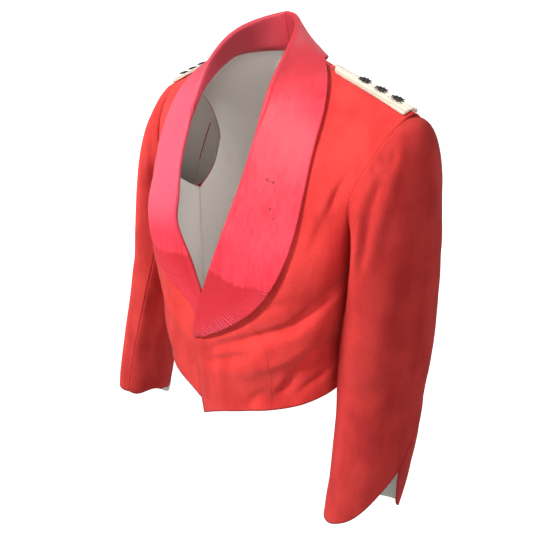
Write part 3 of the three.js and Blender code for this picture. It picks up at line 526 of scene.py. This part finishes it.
# %% [markdown]
# Scarlet wool: a fine close twill, softly mottled, with a soft nap. A woven pattern could be laid on an
# unwrapped mesh, but noise in the cloth's own place needs no unwrapping. Painted shade darkens it a
# little into its seams and along the waist darts, which are thin grooves, and the inner face is lined in
# ivory.


# %% Wool
SCARLET = (0.80, 0.052, 0.046, 1)
SCARLET_DEEP = (0.64, 0.032, 0.029, 1)
NAP_AND_SEAM_SHADE_RED = (0.30, 0.012, 0.012, 1)
IVORY = (0.92, 0.90, 0.86, 1)
HUNG_SCALE, MOTTLE_SCALE, NAP_SCALE, TWILL_SCALE = 36, 22, 620, 5200
SEAM_SHADE_SHARE, NAP_SHARE = 0.28, 0.20
WOOL_ROUGH, LINING_SMOOTHER = 0.88, 0.35
DART = {
    "left": [(84, -290), (99, -325), (111, -338), (115, -352), (114, -380), (111, -410), (110, -448)],
    "right": [(-62, -300), (-78, -330), (-88, -352), (-92, -384), (-92, -448)],
}


def make_wool():
    wool = Material("wool", {"Specular IOR Level": 0.25, "Sheen Weight": 0.12, "Sheen Roughness": 0.55,
                             "Sheen Tint": (1.0, 0.45, 0.42, 1)})
    rim, inside = wool.kept("rim"), wool.kept("inside")
    x, y, z = wool.axes()
    hung = wool.stretched(1, 1, 0.22).noise(HUNG_SCALE, 3)
    mottle = (wool.place.noise(MOTTLE_SCALE, 3) * 0.45 + hung * 0.55).between(0.38, 0.64)
    nap = wool.stretched(1, 1, 0.55).noise(NAP_SCALE, 3)
    twill = ((x + y + z * 0.8) * TWILL_SCALE).math("SINE")
    dart = wool.line_distance(DART["left"]).math("MINIMUM", wool.line_distance(DART["right"]))
    on_front = y.between(-0.02, -0.06) * z.between(-0.285, -0.30)
    dart_line = (1 - dart.between(0.0002, 0.0009)) * on_front
    seam = 1 - rim.between(0.0003, 0.0022)
    colour = mottle.mix(SCARLET, SCARLET_DEEP)
    colour = (nap.between(0.45, 0.72) * NAP_SHARE).mix(colour, NAP_AND_SEAM_SHADE_RED)
    # painted shade: the wool is darker along its seams and its waist darts
    colour = ((seam * SEAM_SHADE_SHARE).math("MAXIMUM", dart_line * SEAM_SHADE_SHARE)).mix(colour, NAP_AND_SEAM_SHADE_RED)
    lining = inside.between(0.4, 0.6)
    wool.feed("Base Color", lining.mix(colour, IVORY))
    wool.feed("Roughness", WOOL_ROUGH - lining * LINING_SMOOTHER)
    groove = (seam * -0.22 + dart_line * -0.3) + nap * 0.10 + twill * 0.02
    wool.bump(groove, 0.0012, 0.8)
    return wool.data


materials = {"wool": make_wool()}
print("wool made, with", len(materials["wool"].node_tree.nodes), "nodes")

# %% [markdown]
# Satin: smooth, with faint streaks along the lapel. Low on both lapels it is a deeper red with an uneven
# border, and the lower edges are drawn into many small puckers, fainter on the right. Puckers this small
# are a wave in bump and in colour, where a mesh of them would need very many faces; the colour is painted
# shade in their troughs and a painted highlight on their crests. The upper right lapel has a painted
# sheen highlight, the top by the neck a painted shade, and the seams a thin painted shade. The left lapel
# has a few worn spots, each given as x, z and radius in millimetres.


# %% Satin
ROSE = (0.76, 0.028, 0.050, 1)
ROSE_FADED = (0.84, 0.058, 0.094, 1)
ROSE_PAINTED_HIGHLIGHT = (0.88, 0.125, 0.200, 1)
CRIMSON = (0.54, 0.017, 0.027, 1)
SPOT_BROWN = (0.16, 0.010, 0.014, 1)
NECK_PAINTED_SHADE = (0.36, 0.030, 0.034, 1)
PUCKER_PAINTED_SHADE = (0.44, 0.012, 0.022, 1)
STREAK_SCALE, PATCH_SCALE, WANDER_SCALE, SOFT_SCALE, THREAD_SCALE = 240, 26, 75, 150, 800
DEEPER_BELOW, BORDER_HALF = -247 * MM, 4 * MM
BORDER_PATCHY, BORDER_STREAKY = 30 * MM, 12 * MM
LOW_START, LOW_FULL = -222 * MM, -262 * MM
PUCKERS_FULL, PUCKERS_END = 6 * MM, 34 * MM
PUCKER_SPACING, PUCKER_SLANT, PUCKER_WANDER = 4.6 * MM, 420, 15
RIGHT_PUCKERS = 0.4
WORN_SPOTS = [
    (93, -119, 1.7), (101, -121, 1.6), (97, -121, 1.0), (76, -114, 0.9),
    (68, -66, 0.9), (105, -130, 0.8), (105, -149, 1.3), (111, -159, 0.9),
]
SPOT_CORE, SPOT_REACH = 0.55 * MM, 1.4 * MM


def make_satin():
    satin = Material("satin", {"Specular IOR Level": 0.3, "Sheen Weight": 0.10, "Sheen Roughness": 0.35,
                               "Sheen Tint": (1.0, 0.55, 0.68, 1)})
    rim, edge = satin.kept("rim"), satin.kept("edge")
    x, _, z = satin.axes()
    streaks = satin.stretched(1, 1, 0.10).noise(STREAK_SCALE, 3)
    patches = satin.stretched(1, 1, 0.5).noise(PATCH_SCALE, 3)
    border = z + (patches - 0.5) * BORDER_PATCHY + (streaks - 0.5) * BORDER_STREAKY
    deeper = border.between(DEEPER_BELOW + BORDER_HALF, DEEPER_BELOW - BORDER_HALF)
    low = z.between(LOW_START, LOW_FULL)
    near_edge = 1 - edge.between(PUCKERS_FULL, PUCKERS_END)
    wander = satin.place.noise(WANDER_SCALE, 3)
    wave = (z * (math.tau / PUCKER_SPACING) + x * PUCKER_SLANT + wander * PUCKER_WANDER).math("SINE")
    calmer_right = RIGHT_PUCKERS + x.between(-0.01, 0.03) * (1 - RIGHT_PUCKERS)
    puckers = wave * near_edge * low * patches.between(0.25, 0.55) * calmer_right
    soft = satin.stretched(0.5, 0.5, 1).noise(SOFT_SCALE, 2) * low
    threads = satin.stretched(1, 1, 0.35).noise(THREAD_SCALE, 2)
    faded = patches.between(0.35, 0.7) * 0.5 + streaks.between(0.35, 0.7) * 0.5
    colour = faded.mix(ROSE, ROSE_FADED)
    # painted sheen highlight: the upper right lapel is paler
    painted_sheen = x.between(0.01, -0.03) * z.between(-0.24, -0.17)
    colour = (painted_sheen * 0.6).mix(colour, ROSE_PAINTED_HIGHLIGHT)
    colour = (threads.between(0.5, 0.75) * 0.22).mix(colour, CRIMSON)
    # painted shade at the top, where the collar turns over the neck
    colour = (z.between(-0.05, 0.0) * 0.62).mix(colour, NECK_PAINTED_SHADE)
    colour = (deeper * 0.85).mix(colour, CRIMSON)
    colour = (near_edge * low * 0.30).mix(colour, ROSE_FADED)
    # painted shade in the puckers' troughs and painted highlight on their crests
    colour = ((puckers * -1).between(0.1, 0.8) * 0.50).mix(colour, PUCKER_PAINTED_SHADE)
    colour = (puckers.between(0.3, 0.9) * 0.40).mix(colour, ROSE_PAINTED_HIGHLIGHT)
    flat = satin.stretched(1, 0, 1)
    spots = None
    for spot_x, spot_z, radius in WORN_SPOTS:
        away = flat.vector("DISTANCE", (spot_x * MM, 0, spot_z * MM), "Value")
        spot = 1 - away.between(radius * SPOT_CORE, radius * SPOT_REACH)
        spots = spot if spots is None else spots.math("MAXIMUM", spot)
    colour = (spots * 0.95).mix(colour, SPOT_BROWN)
    # painted shade: a thin darker line along the rim, in the seams
    seam = 1 - rim.between(0.0002, 0.0016)
    satin.feed("Base Color", (seam * 0.35).mix(colour, CRIMSON))
    satin.feed("Roughness", 0.46 + streaks * 0.14)
    satin.bump(puckers * 0.55 + streaks * 0.16 + soft * 0.5 + seam * -0.3, 0.0011, 0.75)
    return satin.data


materials["satin"] = make_satin()
print("satin made, with", len(WORN_SPOTS), "worn spots")

# %% [markdown]
# The straps are cream braid: twisted cords side by side, with a rose gap between two of them on the half
# by the neck. Each cord could be a mesh of its own, but the strap's wall already has their thickness, so
# a wave across the strap draws the grooves between them, in bump and as painted shade. The twist's
# hollows and the rim are painted a little darker as shade too. The stars are a plain dark metal.


# %% Braid and metal
CREAM = (0.82, 0.75, 0.60, 1)
CREAM_AGED = (0.66, 0.57, 0.42, 1)
CREAM_PAINTED_SHADE = (0.42, 0.25, 0.19, 1)
GAP_ROSE = (0.62, 0.16, 0.17, 1)
STAR_DARK, STAR_WORN = (0.045, 0.042, 0.040, 1), (0.20, 0.18, 0.16, 1)
GAP_PLACE, GAP_END, GAP_FADE = 5 * MM, 150 * MM, 6 * MM
CORD_PITCH, TWIST_PITCH = 5.6 * MM, 4.6 * MM
FIBRE_SCALE, STAR_SCALE = 900, 700


def make_braid():
    braid = Material("braid", {"Roughness": 0.72, "Specular IOR Level": 0.3, "Sheen Weight": 0.3})
    rim = braid.kept("rim")
    x, y, z = braid.axes()
    twist = ((x * 2.0 + y * 2.4 + z * 2.0) * (math.tau / TWIST_PITCH)).math("SINE")
    fibre = braid.place.noise(FIBRE_SCALE, 2)
    cords = ((y - GAP_PLACE) * (math.tau / CORD_PITCH)).math("COSINE").between(0.55, 1.0)
    colour = (fibre.between(0.4, 0.8) * 0.35).mix(CREAM, CREAM_AGED)
    # painted shade in the twist's hollows and in the grooves between cords
    colour = ((twist * -1).between(0.55, 1.0) * 0.30).mix(colour, CREAM_PAINTED_SHADE)
    colour = (cords * 0.45).mix(colour, CREAM_PAINTED_SHADE)
    cord_gap = (y - GAP_PLACE).math("ABSOLUTE").between(0.0026, 0.0014)
    cord_gap = cord_gap * x.math("ABSOLUTE").between(GAP_END, GAP_END - GAP_FADE)
    colour = (cord_gap * 0.7).mix(colour, GAP_ROSE)
    seam = 1 - rim.between(0.0002, 0.0010)
    # painted shade along the rim
    braid.feed("Base Color", (seam * 0.25).mix(colour, CREAM_PAINTED_SHADE))
    braid.bump(twist * 0.25 + fibre * 0.2 + cords * -0.9 + cord_gap * -0.8, 0.0008, 0.8)
    return braid.data


def make_metal():
    metal = Material("star_metal", {"Metallic": 0.75, "Roughness": 0.42})
    worn = metal.place.noise(STAR_SCALE, 3).between(0.4, 0.7)
    metal.feed("Base Color", worn.mix(STAR_DARK, STAR_WORN))
    return metal.data


materials["braid"] = make_braid()
star_metal = make_metal()
print(sorted(materials), "and", star_metal.name, "made")

# %% [markdown]
# Each cloth piece takes the place of its solid. The stars keep their solids, in the metal.

# %% Hand the pieces over
SLOTS = {"front": "wool", "back": "wool", "sleeve": "wool", "collar": "satin", "shoulder": "braid"}
for name, piece in cloth.items():
    slot_name = SLOTS[name.split("_")[0]]
    piece.data.materials.append(materials[slot_name])
    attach(piece, "root")
    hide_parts(name)
for name, node in nodes.items():
    if name.startswith("rank_star"):
        for slot in node.material_slots:
            slot.material = star_metal

# %% [markdown]
# The room is plain and pale. The floor is far below and a round backdrop is far behind. Both shine
# a little themselves so that they stay white, and send no light to the jacket. The sky that does
# light it is white at eye level and grey above and below, which keeps the cloth's sides in shade.

# %% Floor, backdrop and sky
FLOOR_HEIGHT, FLOOR_SIZE, BACKDROP_RADIUS = -1.42, 60, 28
PALE, WHITE = (0.9, 0.9, 0.9, 1), (1, 1, 1, 1)
FLOOR_SHINE = 1.05
SKY_EVEN, SKY_GREY, SKY_DROP = 0.04, 0.25, 0.72
bpy.ops.object.select_all(action="DESELECT")
bpy.ops.mesh.primitive_plane_add(size=FLOOR_SIZE, location=(0, 0, FLOOR_HEIGHT))
floor = bpy.context.object
floor.name = "floor"
floor_material = Material("floor", {"Base Color": PALE, "Roughness": 0.95,
                                    "Emission Color": WHITE, "Emission Strength": FLOOR_SHINE})
floor.data.materials.append(floor_material.data)
floor.visible_diffuse = floor.visible_glossy = False

bpy.ops.object.select_all(action="DESELECT")
bpy.ops.mesh.primitive_uv_sphere_add(radius=BACKDROP_RADIUS, location=(0, 0, 0))
backdrop = bpy.context.object
backdrop.name = "backdrop"
backdrop.data.materials.append(floor_material.data)
backdrop.visible_diffuse = backdrop.visible_glossy = backdrop.visible_shadow = False

world = bpy.data.worlds.new("studio")
bpy.context.scene.world = world
world.use_nodes = True
sky = world.node_tree.nodes["Background"]
direction = Field(world.node_tree, world.node_tree.nodes.new("ShaderNodeTexCoord").outputs["Generated"])
steepness = direction.vector("DOT_PRODUCT", (0, 0, 1), "Value").math("ABSOLUTE")
brightness = 1.0 - steepness.between(SKY_EVEN, SKY_GREY) * SKY_DROP
world.node_tree.links.new(brightness.socket, sky.inputs["Strength"])
sky.inputs["Color"].default_value = WHITE
print("floor at", FLOOR_HEIGHT, "m and backdrop at", BACKDROP_RADIUS, "m")

# %% [markdown]
# Four soft lights. One light for all would flatten either the sleeves or the chest, so each lights
# only the pieces it is linked to. The chest light stands in front, above the head, with a fill from
# the left. The side light comes from the wearer's right and models the sleeves, so that their
# outsides stay in shade. The back light is for the back, and the collar and straps seen from there.


# %% Lights
FRONT_MIDDLE, BACK_MIDDLE = (0.02, -0.1, -0.28), (0.0, 0.05, -0.25)


def area_light(name, place, target, size, power, lit):
    light = bpy.data.lights.new(name, "AREA")
    light.size, light.energy = size, power
    lamp = bpy.data.objects.new(name, light)
    bpy.context.scene.collection.objects.link(lamp)
    lamp.location = place
    lamp.rotation_mode = "QUATERNION"
    lamp.rotation_quaternion = (Vector(target) - Vector(place)).to_track_quat("-Z", "Y")
    receivers = bpy.data.collections.new(f"lit by {name}")
    for piece in lit:
        receivers.objects.link(piece)
    lamp.light_linking.receiver_collection = receivers


stars = [node for name, node in nodes.items() if name.startswith("rank_star")]
chest = [cloth[name] for name in BODY + COLLARS + STRAPS] + stars
sleeves = [cloth[name] for name in SLEEVES]
behind = [cloth[name] for name in ("back_left", "back_right", *COLLARS, *STRAPS)]
area_light("chest light", (-0.12, -1.65, 1.28), FRONT_MIDDLE, size=0.32, power=52, lit=chest)
area_light("chest fill", (1.65, -1.24, 0.87), FRONT_MIDDLE, size=0.8, power=13, lit=chest)
area_light("back light", (1.10, 1.90, 1.10), BACK_MIDDLE, size=0.5, power=32, lit=behind)
area_light("side light", (-1.13, -1.25, 1.35), FRONT_MIDDLE, size=0.6, power=58, lit=sleeves)
bpy.context.scene.view_settings.view_transform = "Standard"
print(len(bpy.data.lights), "lights")
